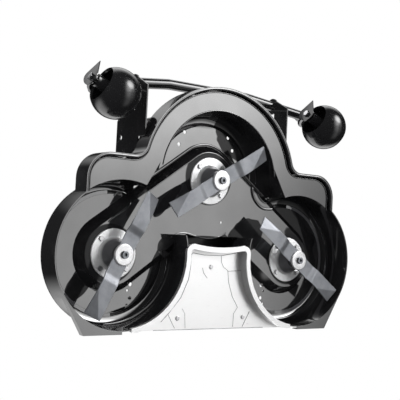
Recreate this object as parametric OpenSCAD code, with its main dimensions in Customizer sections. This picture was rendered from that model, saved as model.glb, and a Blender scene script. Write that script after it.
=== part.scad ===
// Triple-spindle lawn mower deck with a rear discharge tunnel.
// X runs across the machine, Y points forward, Z points up.
// Sizes are worked out in a deck frame: X = 0 on the centre plane, Y = 0 on the line of
// the side spindles and Z = 0 on the lower lip. in_deck() moves it all to stand on the ground.

/* [Spindles] */
// Distance of each side spindle from the centre plane
spindle_x = 375; // [365:1:385]
// How far the centre spindle stands ahead of the side spindles
spindle_y = 270; // [262:1:280]
// Radius of the spindle flange
flange_r = 84; // [78:1:88]
// Bolt circle radius of the flange
flange_pcr = 69; // [64:1:71]
// Radius of the spindle shaft
shaft_r = 12.5; // [10:0.5:14]
// Outer radius of the ball bearings
bearing_r = 26; // [22:0.5:28]
// Width of one ball bearing
bearing_w = 15; // [12:1:18]

/* [Shell] */
// Thickness of the pressed steel sheet
sheet_t = 3; // [2:0.5:4]
// Inner radius of each blade chamber
chamber_r = 243; // [240:1:248]
// Depth from the lip to the chamber ceiling
ceiling_z = 115; // [108:1:122]
// Extra depth of the channel along the chamber wall
channel_h = 14; // [8:1:20]
// Width of the raised channel along the chamber wall
channel_w = 31; // [25:1:40]
// Radius that joins the chamber wall to its ceiling
dome_fillet = 30; // [15:1:40]
// Height of the pan floor that carries the spindles
pan_z = 84; // [78:1:90]
// Radius of the pan round each spindle, at its floor
pan_r = 104; // [98:1:108]
// How far the slope of the pan runs outward
pan_slope = 28; // [15:1:34]
// Width of the baffle flange from the chamber wall out to the front skirt
skirt_w = 83; // [76:1:90]
// Height of the front skirt
skirt_h = 80; // [70:1:90]
// How far the shoulders stay inside the widest point of the side lobes
shoulder_in = 91; // [78:1:103]
// Corner radius of the shoulders
shoulder_r = 85; // [60:1:95]
// Radius of the neck between front skirt and shoulder
neck_r = 45; // [30:1:55]
// Height of the baffle flange above the lip
band_z = 16; // [12:1:24]
// Open groove between the baffle flange and the skirt
band_gap = 12; // [8:1:16]
// Distance from the wall of the side chambers to the straight rear edge
rear_gap = 12; // [8:1:19]
// How far the rear corners stay inside the widest point of the side lobes
corner_in = 111; // [98:1:128]

/* [Tunnel] */
// Height of the tunnel roof above the lip
tunnel_z = 150; // [145:1:156]
// Front wall of the tunnel, ahead of the side spindles
throat_y = 74; // [66:1:80]
// Half-width of the tunnel at its front wall
throat_x = 150; // [140:1:165]
// Half-width of the tunnel at its outlet
outlet_x = 338; // [325:1:345]
// Sheet thickness of the tunnel tray
tray_t = 2.5; // [2:0.5:3.5]
// How far the tray floor is dished above the lip
tray_dish = 38; // [28:1:44]
// Width of the tray's rolled rim
tray_rim = 17; // [12:1:22]
// Corner radius at the front of the tray
tray_corner_r = 26; // [18:1:32]

/* [Blades] */
// Length of one blade from tip to tip
blade_l = 450; // [440:1:456]
// Width of the blade
blade_w = 56; // [50:1:62]
// Thickness of the blade
blade_t = 5; // [4:0.5:6]
// Height of the blade's middle above the lip
blade_z = 13; // [11:1:18]
// How far the blade's ends drop below its middle
blade_drop = 7; // [3:1:8]
// How far the trailing wing is turned up
wing_lift = 24; // [12:1:30]
// Radius of the dished blade washer
washer_r = 36; // [32:1:40]

/* [Drive] */
// Outer radius of the deck pulleys
pulley_r = 70; // [62:1:78]
// Outer radius of the idler pulley
idler_r = 38; // [32:1:42]
// Width of the drive belt
belt_w = 12; // [10:0.5:13]
// Thickness of the drive belt
belt_t = 9; // [7:0.5:10]

/* [Front bar and casters] */
// Outer radius of the front tube
tube_r = 18.5; // [16:0.5:20]
// Height of the front tube above the lip
tube_z = 122; // [118:1:130]
// Line of the front tube's middle stretch, ahead of the side spindles
tube_y = 598; // [590:1:610]
// Half-length of the tube's straight middle stretch
tube_mid_x = 172; // [150:1:200]
// Distance of each caster's kingpin from the centre plane
king_x = 456; // [445:1:470]
// Kingpin position ahead of the side spindles
king_y = 566; // [556:1:576]
// Radius of the ball wheel
ball_r = 84; // [78:1:86]
// Height of the wheel's centre above the lip
ball_z = 14; // [6:1:16]
// Sideways offset of the wheel from its kingpin
caster_side = 40; // [36:1:46]
// Trail of the wheel behind its kingpin
caster_trail = 38; // [30:1:46]
// Angle to which both casters are swivelled at rest
caster_yaw = 24.4; // [0:0.1:40]

/* [Brackets] */
// Distance of the front bracket plates from the centre plane
bracket_x = 306; // [304:1:316]
// Thickness of bracket plates
bracket_t = 6; // [4:0.5:8]
// Top of the front bracket's tower above the lip
tower_z = 226; // [200:1:240]
// Radius of the hanger bores
hanger_r = 8; // [6:0.5:10]

/* [Hidden] */

// Overrun of every cut past the face it opens
cut_over = 1;
// Gap between pieces that seat on each other without touching
seat_gap = 0.3;
// Radial running clearance of shafts and pins
run_gap = 0.05;
// Facets of a full round, of a large round and of a hull's rounds
$fn = 96;
fine_fn = 192;
hull_fn = 40;
// Steps of an arc worked out as points
arc_steps = 14;
fillet_steps = 4;

spindles = [[spindle_x, 0], [0, spindle_y], [-spindle_x, 0]];

// What follows the blade chambers
channel_r = chamber_r - channel_w;
front_r = chamber_r + skirt_w;
shoulder_y = chamber_r + skirt_w;
shoulder_x = spindle_x + chamber_r - shoulder_in;
rear_y = chamber_r + rear_gap;
rear_corner_x = spindle_x + chamber_r - corner_in;

// Caster arm and keeper plate, in the caster's own frame
arm_t = 8;
arm_clear = 2;
arm_w = 34;
keeper_t = 4;
keeper_boss_r = 20;
keeper_tip = 62;
keeper_tip_r = 3;
keeper_x = ball_r + arm_clear + arm_t - caster_side;

wheel_head_r = 12;
wheel_head_h = 8;
wheel_cut_angle = 45;

// The ground lies under the ball wheels, and the middle of the box is the origin
lip_h = ball_r - ball_z;
mid_y = (tube_y + tube_r - rear_y) / 2;

module in_deck() translate([0, -mid_y, lip_h]) children();
module at_spindle(i) in_deck() translate([spindles[i][0], spindles[i][1], 0]) children();

// Points of an arc round a centre, from one angle to another
function arc(c, r, a0, a1, steps = arc_steps) =
    [for (k = [0:steps]) let (a = a0 + (a1 - a0) * k / steps) [c[0] + r * cos(a), c[1] + r * sin(a)]];
// The same points seen in the mirror across the centre plane, in reverse order
function flip(pts) = [for (k = [len(pts) - 1:-1:0]) [-pts[k][0], pts[k][1]]];
module both() for (m = [0, 1]) mirror([m, 0, 0]) children();

// Outline of the skirt, drawn in by d: front lobe, necks, shoulders and side lobes
neck_y = shoulder_y + neck_r;
neck_x = sqrt(pow(front_r + neck_r, 2) - pow(neck_y - spindle_y, 2));
module skirt_outline(d = 0) {
    translate([0, spindle_y]) circle(r = front_r - d, $fn = fine_fn);
    both() {
        translate([spindle_x, 0]) circle(r = chamber_r + sheet_t / 2 - d, $fn = fine_fn);
        translate([shoulder_x - shoulder_r, shoulder_y - shoulder_r]) circle(r = shoulder_r - d);
        polygon([[0, -chamber_r / 2], [shoulder_x - shoulder_r, 0], [shoulder_side_x(d), shoulder_foot_y],
            [shoulder_x - d, shoulder_foot_y], [shoulder_x - d, shoulder_y - shoulder_r],
            [shoulder_x - shoulder_r, shoulder_y - shoulder_r], [shoulder_x - shoulder_r, shoulder_y - d],
            [0, shoulder_y - d]]);
        difference() {
            polygon([[0, shoulder_y - shoulder_r], [neck_x, shoulder_y - shoulder_r], [neck_x, neck_y],
                [0, spindle_y]]);
            translate([neck_x, neck_y]) circle(r = neck_r + d);
        }
    }
}
shoulder_foot_y = sqrt(pow(chamber_r + sheet_t, 2) - pow(shoulder_x - spindle_x, 2));
function shoulder_side_x(d) = shoulder_x - d - shoulder_r / 2;

// One blade chamber as a turned form, grown outward by d
function chamber_profile(d) = let (
        top = ceiling_z + channel_h + d,
        r = chamber_r + d,
        f = dome_fillet + d)
    concat([[0, -cut_over - d], [r, -cut_over - d]],
        arc([r - f, top - f], f, 0, 90, fillet_steps),
        [[channel_r - d, top], [channel_r - channel_h - d, top - channel_h], [0, top - channel_h]]);
module chamber(d = 0) rotate_extrude($fn = fine_fn) polygon(chamber_profile(d));
module chambers(d = 0) for (s = spindles) translate([s[0], s[1], 0]) chamber(d);

// The cusp between two lobes is cut back to a point near the side chamber
cusp_shares = [0.5, 0.45];
cusp_front_angle = 20;
cusp_side_angle = 18;
module cusp_relief(d, z0, z1) both() translate([0, 0, z0]) linear_extrude(z1 - z0) polygon([
    [spindle_x * cusp_shares[0] - d, spindle_y * cusp_shares[1]],
    [chamber_r * cos(cusp_front_angle) + d, spindle_y + chamber_r * sin(cusp_front_angle)],
    [spindle_x - chamber_r * sin(cusp_side_angle) + d, chamber_r * cos(cusp_side_angle) + d]]);

// Sloped pan round the spindles, protruding from the ceiling towards the blades
module pan(d = 0, z0 = pan_z, z1 = ceiling_z + channel_h + cut_over) both() hull()
    for (s = [spindles[0], spindles[1]]) translate([s[0], s[1], z0])
        cylinder(h = z1 - z0, r1 = pan_r + d, r2 = pan_r + d + pan_slope * (z1 - z0) / (ceiling_z - pan_z),
            $fn = hull_fn);

// Plan of the tunnel roof
module tunnel_plan(d = 0, past = 0) polygon([
    [-throat_x - d, throat_y + d], [throat_x + d, throat_y + d],
    [outlet_x + d, -rear_y - past], [-outlet_x - d, -rear_y - past]]);

// Ceiling holes, right-hand half: place and radius
hole_large_r = 6.5;
hole_small_r = 4;
front_hole_y = [168, 123];
front_hole_x = [96, 118];
side_hole_x = [90, 90, 79, 79];
side_hole_y = [102, 149, 123, 171];
pan_hole = [-60, 125];
module ceiling_holes() translate([0, 0, pan_z - cut_over]) {
    for (m = [-1, 1], k = [0, 1]) translate([m * front_hole_x[k], spindle_y + front_hole_y[k], 0])
        cylinder(h = tunnel_z, r = hole_large_r);
    for (m = [-1, 1], k = [0:3]) translate([m * (spindle_x - side_hole_x[k]), -side_hole_y[k], 0])
        cylinder(h = tunnel_z, r = k < 2 ? hole_large_r : hole_small_r);
    translate([pan_hole[0], pan_hole[1], 0]) cylinder(h = tunnel_z, r = hole_small_r);
}

// Rear corner gussets with an upturned edge
gusset_flange_h = 25;
gusset_leave_angle = 26;
module gusset_plan(d = 0) {
    r = chamber_r + sheet_t;
    polygon([
        [spindle_x + r * cos(gusset_leave_angle) - d, -r * sin(gusset_leave_angle) - d],
        [rear_corner_x + sheet_t - d, -rear_y + d],
        [spindle_x - sheet_t, -rear_y + d],
        [spindle_x, -chamber_r / 2]]);
}
module gussets() both() difference() {
    linear_extrude(gusset_flange_h) gusset_plan();
    translate([0, 0, sheet_t]) linear_extrude(gusset_flange_h) gusset_plan(sheet_t);
    translate([spindle_x, 0, -cut_over]) cylinder(h = skirt_h, r = chamber_r + sheet_t / 2, $fn = fine_fn);
}

spindle_hole_gap = 6;
spindle_hole_r = bearing_r + spindle_hole_gap;
bolt_hole_r = 5.5;
module inner_space(d) {
    chambers(d);
    cusp_relief(d, -cut_over, ceiling_z + d);
}
module deck_shell() color([0.05, 0.05, 0.055]) in_deck() difference() {
    union() {
        difference() {
            linear_extrude(skirt_h) skirt_outline();
            // below the baffle flange the skirt is open
            translate([0, 0, -cut_over]) linear_extrude(cut_over + band_z) skirt_outline(sheet_t);
            // the groove and the hollow between skirt and chamber wall
            difference() {
                translate([0, 0, band_z - cut_over]) linear_extrude(skirt_h - band_z - sheet_t + cut_over)
                    skirt_outline(sheet_t);
                translate([0, 0, band_z - 2 * cut_over]) linear_extrude(sheet_t + 2 * cut_over)
                    skirt_outline(sheet_t + band_gap);
                inner_space(sheet_t);
            }
        }
        // chamber walls and ceilings stand on the baffle flange, the side lobes on the lip
        difference() {
            inner_space(sheet_t);
            translate([0, 0, -2 * cut_over - sheet_t]) linear_extrude(2 * cut_over + sheet_t + band_z)
                skirt_outline(sheet_t);
            translate([0, 0, -2 * cut_over - sheet_t]) linear_extrude(2 * cut_over + sheet_t)
                skirt_outline(-sheet_t);
        }
        translate([0, 0, pan_z]) linear_extrude(tunnel_z + sheet_t - pan_z) tunnel_plan(sheet_t);
        translate([0, 0, tray_t + seat_gap]) linear_extrude(pan_z) tunnel_side_walls();
        gussets();
    }
    difference() {
        inner_space(0);
        pan(0);
    }
    // the pan seen from above
    difference() {
        pan(-sheet_t, pan_z + sheet_t, tunnel_z + 2 * sheet_t);
        linear_extrude(tunnel_z + 3 * sheet_t) tunnel_plan(sheet_t);
    }
    // the tunnel, between the side chambers
    difference() {
        translate([0, 0, -cut_over]) linear_extrude(tunnel_z + cut_over) tunnel_plan(0, cut_over);
        for (s = [spindles[0], spindles[2]]) translate([s[0], s[1], 0]) chamber(sheet_t);
    }
    // the wall stops above the rim of the tray, and has notches where the tray's lip crosses it
    translate([0, 0, -cut_over]) linear_extrude(tray_t + seat_gap + cut_over) difference() {
        translate([-outlet_x, -2 * rear_y]) square([2 * outlet_x, 2 * rear_y + tray_front_y + sheet_t]);
        for (m = [-1, 1]) translate([m * spindle_x, 0]) circle(r = tray_flank_r - sheet_t, $fn = fine_fn);
    }
    translate([0, 0, -cut_over]) linear_extrude(tray_lip_h + seat_gap + cut_over) difference() {
        tray_outline(-seat_gap);
        tray_outline(tray_t + seat_gap);
    }
    for (s = spindles) translate([s[0], s[1], 0]) {
        cylinder(h = tunnel_z, r = spindle_hole_r);
        flange_places() cylinder(h = tunnel_z, r = bolt_hole_r);
    }
    ceiling_holes();
    translate([arm_pivot_x, arm_pivot_y, tunnel_z - cut_over])
        cylinder(h = sheet_t + 2 * cut_over, r = idler_pin_r + seat_gap);
}
module tunnel_side_walls() difference() {
    both() translate([spindle_x, 0]) circle(r = chamber_r + sheet_t, $fn = fine_fn);
    both() translate([spindle_x, 0]) circle(r = chamber_r, $fn = fine_fn);
    translate([0, spindle_y]) circle(r = chamber_r, $fn = fine_fn);
    translate([-2 * spindle_x, throat_y]) square(4 * spindle_x);
}

module flange_places() for (a = [45:90:315]) rotate(a) translate([flange_pcr, 0, 0]) children();

// Tray under the tunnel: its flanks follow the side chambers, its front edge is a shallow arc
tray_front_y = 36;
tray_front_r = 600;
tray_corner_x = 98;
tray_overlap = 4;
tray_short = 5;
tray_flank_r = chamber_r - tray_overlap;
tray_rear_y = rear_y - tray_short;
tray_lip_h = 13;
function tray_half(d) = let (
        cy = tray_front_y + tray_front_r * (1 - cos(asin(tray_corner_x / tray_front_r))) - tray_corner_r,
        r = tray_flank_r + d,
        side_x = outlet_x - d,
        corner_x = spindle_x - sqrt(pow(tray_flank_r, 2) - pow(cy, 2)) - tray_corner_r,
        a0 = 180 - asin(cy / tray_flank_r),
        at_side = 360 - acos((side_x - spindle_x) / r),
        at_rear = r > tray_rear_y ? 180 + asin(tray_rear_y / r) : 360,
        ends_at_side = at_side < at_rear)
    concat(
        arc([0, tray_front_y + tray_front_r], tray_front_r + d, -90,
            asin(corner_x / tray_front_r) - 90, fillet_steps),
        arc([corner_x, cy], tray_corner_r - d, 90, 0, 2 * fillet_steps),
        arc([spindle_x, 0], r, a0, min(at_side, at_rear), arc_steps),
        ends_at_side ? [[side_x, -tray_rear_y]] : []);
module tray_outline(d = 0) {
    half = tray_half(d);
    polygon(concat(flip(half), half));
}
liner_t = 1.5;
liner_front = 40;
liner_r = tray_flank_r + tray_rim + liner_front;
tray_screw_r = 4;
screw_from_rear = 40;
screw_inset = 26;
front_screw = [10, -33];
rear_screw_y = screw_from_rear - tray_rear_y;
rear_screw_x = spindle_x - sqrt(pow(liner_r, 2) - pow(rear_screw_y, 2)) - screw_inset;
tray_screw_places = [front_screw, [rear_screw_x, rear_screw_y], [-rear_screw_x, rear_screw_y]];
module at_tray_screws() for (p = tray_screw_places) translate([p[0], p[1], 0]) children();
module tunnel_tray() color([0.86, 0.87, 0.88]) in_deck() difference() {
    union() {
        linear_extrude(tray_t) tray_outline(0);
        linear_extrude(tray_lip_h) difference() {
            tray_outline(0);
            tray_outline(tray_t);
            translate([-outlet_x, -tray_rear_y - cut_over]) square([2 * outlet_x, cut_over + tray_t]);
        }
        linear_extrude(tray_dish) tray_outline(tray_rim - tray_t);
    }
    translate([0, -cut_over, -tray_t]) linear_extrude(tray_dish) tray_outline(tray_rim);
    at_tray_screws() cylinder(h = tray_dish + tray_t, r = tray_screw_r + seat_gap);
}
module tunnel_liner() color([0.1, 0.1, 0.1]) in_deck() difference() {
    translate([0, 0, tray_dish + seat_gap]) linear_extrude(liner_t) difference() {
        translate([-outlet_x / 2, -tray_rear_y]) square([outlet_x, tray_rear_y - liner_front / 2]);
        for (m = [-1, 1]) translate([m * spindle_x, 0])
            circle(r = liner_r, $fn = fine_fn);
    }
    at_tray_screws() cylinder(h = 2 * tray_dish, r = tray_screw_r + seat_gap);
}
screw_head_r = 8.5;
screw_head_low_r = 6.8;
screw_head_h = 3;
screw_nut_r = 7.2;
screw_nut_h = 6.4;
module tray_screws() color([0.7, 0.7, 0.72]) in_deck() at_tray_screws() {
    translate([0, 0, tray_dish - tray_t - screw_head_h])
        cylinder(h = screw_head_h, r1 = screw_head_low_r, r2 = screw_head_r);
    translate([0, 0, tray_dish - tray_t - screw_head_h])
        cylinder(h = tray_t + liner_t + 3 * screw_head_h, r = tray_screw_r);
    translate([0, 0, tray_dish + seat_gap + liner_t]) cylinder(h = screw_nut_h, r = screw_nut_r, $fn = 6);
}

// Spindle housing: flange under the pan, dished cone towards the blade, bearing tube above
flange_t = 5;
cone_r = 58;
cone_low_r = 34;
cone_z = 34;
cone_fillet = 5;
cone_break_shares = [0.45, 0.35];
housing_top = 150;
module spindle_housing(i) color([0.78, 0.79, 0.8]) at_spindle(i) difference() {
    rotate_extrude() polygon([
        [bearing_r, cone_z], [cone_low_r, cone_z],
        [cone_low_r + (cone_r - cone_low_r) * cone_break_shares[0],
            cone_z + (pan_z - flange_t - cone_z) * cone_break_shares[1]],
        [cone_r - cone_fillet, pan_z - flange_t - cone_fillet], [cone_r, pan_z - flange_t],
        [flange_r - cone_fillet / 2, pan_z - flange_t], [flange_r, pan_z - flange_t / 2],
        [flange_r, pan_z - seat_gap], [spindle_hole_r - seat_gap, pan_z - seat_gap],
        [spindle_hole_r - seat_gap, housing_top],
        [bearing_r, housing_top]]);
    flange_places() translate([0, 0, pan_z - 2 * flange_t])
        cylinder(h = 3 * flange_t, r = bolt_hole_r);
}
bolt_r = 5;
bolt_head_r = 9.5;
bolt_head_h = 6;
module hex_bolt(l) {
    translate([0, 0, -bolt_head_h]) cylinder(h = bolt_head_h, r = bolt_head_r, $fn = 6);
    translate([0, 0, -bolt_head_h]) cylinder(h = l + bolt_head_h, r = bolt_r);
}
module flange_bolts(i) color([0.75, 0.76, 0.78]) at_spindle(i) flange_places() {
    translate([0, 0, pan_z - flange_t - seat_gap])
        hex_bolt(flange_t + 2 * seat_gap + sheet_t + bolt_head_h + bolt_r);
    translate([0, 0, pan_z + sheet_t + seat_gap]) cylinder(h = bolt_head_h, r = bolt_head_r, $fn = 6);
}
// Two ball bearings, each a ring that carries the shaft, with seals set back in its faces
seal_depth = 1;
race_outer_w = 3.9;
race_inner_w = 3.75;
module bearings(i) color([0.8, 0.8, 0.82]) at_spindle(i)
    for (z = [cone_z + seat_gap, housing_top - bearing_w - seat_gap]) translate([0, 0, z]) difference() {
        cylinder(h = bearing_w, r = bearing_r - run_gap);
        translate([0, 0, -cut_over]) cylinder(h = bearing_w + 2 * cut_over, r = shaft_r + run_gap);
        for (z = [-bearing_w, bearing_w]) translate([0, 0, z]) difference() {
            translate([0, 0, -seal_depth * sign(z)])
                cylinder(h = bearing_w, r = bearing_r - race_outer_w);
            translate([0, 0, -bearing_w]) cylinder(h = 3 * bearing_w, r = shaft_r + race_inner_w);
        }
    }

// Spindle: shaft, blade, dished washer, bolt, pulley and nut turn together
shaft_z = blade_z + blade_t + seat_gap;
collar_r = 22;
collar_h = cone_z - shaft_z;
pulley_z = 158;
pulley_h = 22;
belt_z = pulley_z + pulley_h / 2;
nut_h = 12;
nut_r = 19;
bolt_core_r = 6;
blade_bolt_l = 34;
module spindle_shaft(i) color([0.6, 0.6, 0.62]) at_spindle(i) difference() {
    union() {
        translate([0, 0, shaft_z])
            cylinder(h = pulley_z + pulley_h + nut_h + 2 * seat_gap + bolt_core_r - shaft_z, r = shaft_r);
        translate([0, 0, shaft_z]) cylinder(h = collar_h, r = collar_r);
    }
    translate([0, 0, shaft_z - cut_over])
        cylinder(h = blade_bolt_l + cut_over, r = bolt_core_r + run_gap);
}

// Blade: one pressed bar whose arms step down, with a trailing wing turned up near each end
blade_angles = [117, 149, 36];
blade_steps = 16;
blade_bevel = 9;
wing_w = 24;
// Places along an arm, from the spindle to the tip, as shares of its length
wing_from_share = 0.60;
wing_ramp_share = 0.22;
drop_from_share = 0.34;
drop_ramp_share = 0.12;
tip_from_share = 0.93;
// How much the tip narrows, and how high the wing stands at its edge and at its middle
tip_share = 0.25;
wing_edge_share = 0.9;
wing_middle_share = 0.38;
ground_share = 0.75;
function ease(t) = let (u = max(0, min(1, t))) u * u * (3 - 2 * u);
// One section of the arm at the distance x from the spindle, seen along the arm
function blade_station(x) = let (
        q = 2 * x / blade_l,
        z = blade_z - blade_drop * ease((q - drop_from_share) / drop_ramp_share),
        lift = wing_lift * ease((q - wing_from_share) / wing_ramp_share),
        w = blade_w / 2,
        tip = max(0, q - tip_from_share) / (1 - tip_from_share) * w * tip_share,
        edge = z + lift * wing_edge_share,
        middle = z + lift * wing_middle_share)
    [[x, -w + tip / 2, edge], [x, -w + wing_w / 2, middle], [x, -w + wing_w, z],
     [x, w - blade_bevel, z], [x, w - tip, z + blade_t * ground_share], [x, w - tip, z + blade_t],
     [x, -w + wing_w, z + blade_t], [x, -w + wing_w / 2, middle + blade_t],
     [x, -w + tip / 2, edge + blade_t]];
blade_cap = [[0, 1, 7, 8], [1, 2, 6, 7], [2, 3, 5, 6], [3, 4, 5]];
module blade_arm() {
    n = blade_steps;
    m = len(blade_station(0));
    pts = [for (k = [0:n]) each blade_station(blade_l / 2 * k / n)];
    polyhedron(points = pts, faces = concat(
        blade_cap,
        [for (k = [0:n - 1], j = [0:m - 1]) let (a = k * m, b = (k + 1) * m, next = (j + 1) % m)
            each [[a + j, b + j, b + next], [a + j, b + next, a + next]]],
        [for (f = blade_cap) [for (j = [len(f) - 1:-1:0]) n * m + f[j]]]));
}
module blade(i) color([0.56, 0.59, 0.62]) at_spindle(i) rotate(blade_angles[i]) difference() {
    union() {
        blade_arm();
        rotate(180) blade_arm();
    }
    cylinder(h = pan_z, r = bolt_core_r + seat_gap);
}
washer_t = 3;
washer_dish = 3;
washer_flat = 12;
module blade_washer(i) color([0.8, 0.8, 0.8]) at_spindle(i) translate([0, 0, blade_z - seat_gap])
    rotate_extrude() polygon([
        [bolt_core_r + seat_gap, -washer_t - washer_dish], [washer_r - washer_flat, -washer_t - washer_dish],
        [washer_r - washer_t, -washer_t], [washer_r, -washer_t / 2], [washer_r, 0],
        [washer_r - washer_t, 0], [washer_r - washer_flat, -washer_dish],
        [bolt_core_r + seat_gap, -washer_dish]]);
head_r = 13;
head_low_r = 12;
head_h = 8;
socket_r = 6;
module blade_bolt(i) color([0.35, 0.36, 0.38]) at_spindle(i)
    translate([0, 0, blade_z - 2 * seat_gap - washer_t - washer_dish]) difference() {
        union() {
            translate([0, 0, -head_h]) cylinder(h = head_h, r1 = head_low_r, r2 = head_r);
            cylinder(h = blade_bolt_l, r = bolt_core_r);
        }
        translate([0, 0, -head_h - cut_over]) cylinder(h = head_h, r = socket_r, $fn = 6);
    }

// Belt drive: V pulleys on the three spindles and an idler on a swinging arm
belt_low = 4;
belt_ease = 0.6;
groove_flare = 2.5;
groove_depth = belt_t + belt_low;
groove_low = belt_w / 2 + belt_ease;
web_t = 5;
module vee_pulley(r, bore) rotate_extrude() polygon([
    [bore, -pulley_h / 2], [bore + web_t * 2, -pulley_h / 2], [bore + web_t * 2, -web_t / 2],
    [r - groove_depth - web_t, -web_t / 2], [r - groove_depth - web_t, -groove_low - web_t / 2],
    [r, -pulley_h / 2], [r, -groove_low - groove_flare],
    [r - groove_depth, -groove_low], [r - groove_depth, groove_low],
    [r, groove_low + groove_flare], [r, pulley_h / 2], [r - groove_depth - web_t, groove_low + web_t / 2],
    [r - groove_depth - web_t, web_t / 2], [bore + web_t * 2, web_t / 2], [bore + web_t * 2, pulley_h / 2],
    [bore, pulley_h / 2]]);
module pulley(i) color([0.3, 0.31, 0.32]) at_spindle(i) {
    translate([0, 0, belt_z]) vee_pulley(pulley_r, shaft_r + run_gap);
    translate([0, 0, housing_top + seat_gap]) difference() {
        cylinder(h = pulley_h / 2, r = shaft_r + web_t);
        translate([0, 0, -cut_over]) cylinder(h = pulley_h, r = shaft_r + run_gap);
    }
}
module pulley_nut(i) color([0.7, 0.7, 0.72]) at_spindle(i)
    translate([0, 0, pulley_z + pulley_h + seat_gap]) difference() {
        cylinder(h = nut_h, r = nut_r, $fn = 6);
        translate([0, 0, -cut_over]) cylinder(h = nut_h + 2 * cut_over, r = shaft_r + run_gap);
    }
idler_x = 60;
idler_y = -82;
idler_pin_r = 6;
function belt_rounds() = [[-spindle_x, 0, pulley_r], [idler_x, idler_y, idler_r], [spindle_x, 0, pulley_r],
    [0, spindle_y, pulley_r]];
// Outline of a belt led round the outside of several pulleys, taken anticlockwise
function belt_normal(p, q) = let (d = norm([q[0] - p[0], q[1] - p[1]]))
    atan2(q[1] - p[1], q[0] - p[0]) - 90 + asin((p[2] - q[2]) / d);
function belt_path(c, depth) = [for (k = [0:len(c) - 1]) let (
        before = c[(k + len(c) - 1) % len(c)], here = c[k], after = c[(k + 1) % len(c)],
        a0 = belt_normal(before, here), a1 = belt_normal(here, after),
        turn = (a1 - a0 + 720) % 360)
    each arc([here[0], here[1]], here[2] - depth, a0, a0 + turn, 2 * arc_steps)];
module deck_belt() color([0.06, 0.06, 0.06]) in_deck() translate([0, 0, belt_z - belt_w / 2])
    linear_extrude(belt_w) difference() {
        polygon(belt_path(belt_rounds(), groove_depth - belt_t - 2 * seat_gap));
        polygon(belt_path(belt_rounds(), groove_depth - 2 * seat_gap));
    }
arm_pivot_x = 190;
arm_pivot_y = -30;
idler_arm_t = 4.4;
arm_end_r = 16;
arm_z = tunnel_z + sheet_t + seat_gap;
link_waist_share = 0.9;
module link_plan(p, q, r) {
    a = atan2(q[1] - p[1], q[0] - p[0]);
    translate(p) circle(r = r);
    translate(q) circle(r = r);
    w = r * link_waist_share;
    translate(p) rotate(a) translate([0, -w]) square([norm(q - p), 2 * w]);
}
module idler_arm() color([0.12, 0.12, 0.12]) in_deck() difference() {
    translate([0, 0, arm_z]) linear_extrude(idler_arm_t)
        link_plan([arm_pivot_x, arm_pivot_y], [idler_x, idler_y], arm_end_r);
    translate([arm_pivot_x, arm_pivot_y, 0]) cylinder(h = 2 * arm_z, r = idler_pin_r + run_gap);
    translate([idler_x, idler_y, 0]) cylinder(h = 2 * arm_z, r = idler_pin_r + run_gap);
}
module idler_pivot_bolt() color([0.7, 0.7, 0.72]) in_deck() translate([arm_pivot_x, arm_pivot_y, 0]) {
    translate([0, 0, tunnel_z - bolt_head_h - seat_gap]) cylinder(h = bolt_head_h, r = bolt_head_r, $fn = 6);
    translate([0, 0, tunnel_z - bolt_head_h])
        cylinder(h = sheet_t + idler_arm_t + 3 * bolt_head_h, r = idler_pin_r);
    translate([0, 0, arm_z + idler_arm_t + seat_gap]) cylinder(h = bolt_head_h, r = bolt_head_r, $fn = 6);
}
module idler_pulley() color([0.2, 0.2, 0.21]) in_deck() translate([idler_x, idler_y, belt_z])
    vee_pulley(idler_r, idler_pin_r + run_gap);
module idler_bolt() color([0.7, 0.7, 0.72]) in_deck() translate([idler_x, idler_y, 0]) {
    translate([0, 0, arm_z]) cylinder(h = belt_z + pulley_h / 2 + bolt_head_h - arm_z, r = idler_pin_r);
    translate([0, 0, belt_z + pulley_h / 2 + seat_gap]) cylinder(h = bolt_head_h, r = bolt_head_r, $fn = 6);
}

// Moulded cover over each side pulley, open towards the belt
cover_foot_r = 150;
cover_foot_w = 14;
cover_lean = 40;
cover_t = 3;
cover_top = 207;
cover_open_angle = 140;
cover_turn_angle = 168;
cover_z = ceiling_z + sheet_t + seat_gap;
cover_base_r = cover_foot_r - cover_foot_w;
cover_head_r = cover_base_r - cover_lean;
cover_screw_angles = [-92, -12, 68];
cover_screw_r = 3;
module on_side(side) in_deck() mirror([side > 0 ? 0 : 1, 0, 0]) children();
module at_side(side) on_side(side) translate([spindle_x, 0, 0]) children();
module at_cover_screws() for (a = cover_screw_angles) rotate(a)
    translate([(cover_foot_r + cover_base_r) / 2, 0, cover_z]) children();
module belt_cover(side) color([0.07, 0.07, 0.07]) at_side(side) difference() {
    rotate(cover_turn_angle + cover_open_angle / 2)
        rotate_extrude(angle = 360 - cover_open_angle) polygon([
        [0, cover_top - cover_t], [cover_head_r - 2 * cover_t, cover_top - cover_t],
        [cover_base_r - cover_t, cover_z + cover_t], [cover_base_r - cover_t, cover_z],
        [cover_foot_r, cover_z],
        [cover_foot_r, cover_z + cover_t], [cover_base_r, cover_z + cover_t],
        [cover_head_r, cover_top - 3 * cover_t], [cover_head_r - 3 * cover_t, cover_top], [0, cover_top]]);
    at_cover_screws() translate([0, 0, -cut_over]) cylinder(h = 3 * cover_t, r = cover_screw_r + seat_gap);
}
module cover_screws(side) color([0.7, 0.7, 0.72]) at_side(side) at_cover_screws()
    translate([0, 0, cover_t + seat_gap]) {
        cylinder(h = cover_screw_r, r = 2 * cover_screw_r);
        translate([0, 0, -cover_t]) cylinder(h = cover_t + cover_screw_r, r = cover_screw_r);
    }

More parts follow.
